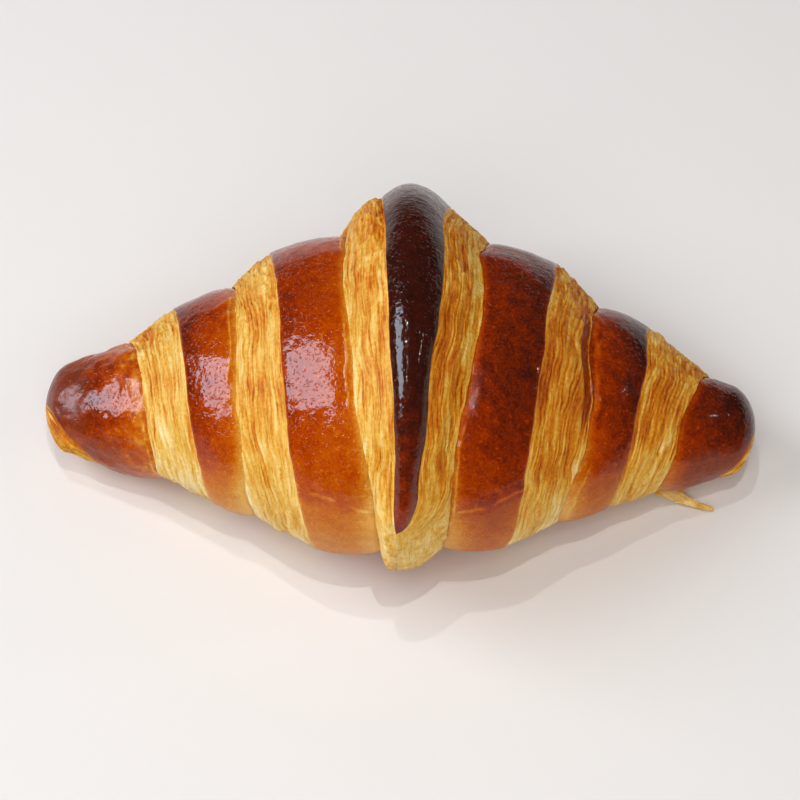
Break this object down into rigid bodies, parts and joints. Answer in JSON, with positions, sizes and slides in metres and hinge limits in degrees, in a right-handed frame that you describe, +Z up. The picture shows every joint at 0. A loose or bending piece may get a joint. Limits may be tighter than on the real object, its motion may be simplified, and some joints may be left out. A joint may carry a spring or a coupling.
{
  "type": "croissant",
  "caption": "Straight butter croissant: a rolled, layered pastry with stepped spiral turns, browned skin and pale cut edges.",
  "frame": {"origin": "centre of the box in X and Y, at the flat spot on the underside that the croissant rests on", "axes": "+X along the croissant towards the right horn, +Z up, and the front, where the dough's point ends, faces -Y"},
  "size_m": [0.165, 0.0932, 0.0666],
  "materials": {
    "baked_crust": "egg-washed crust, glossy dark brown on the skin and matt golden on the cut layers"
  },
  "bodies": {
    "root": {"croissant": "baked_crust"}
  },
  "joints": []
}
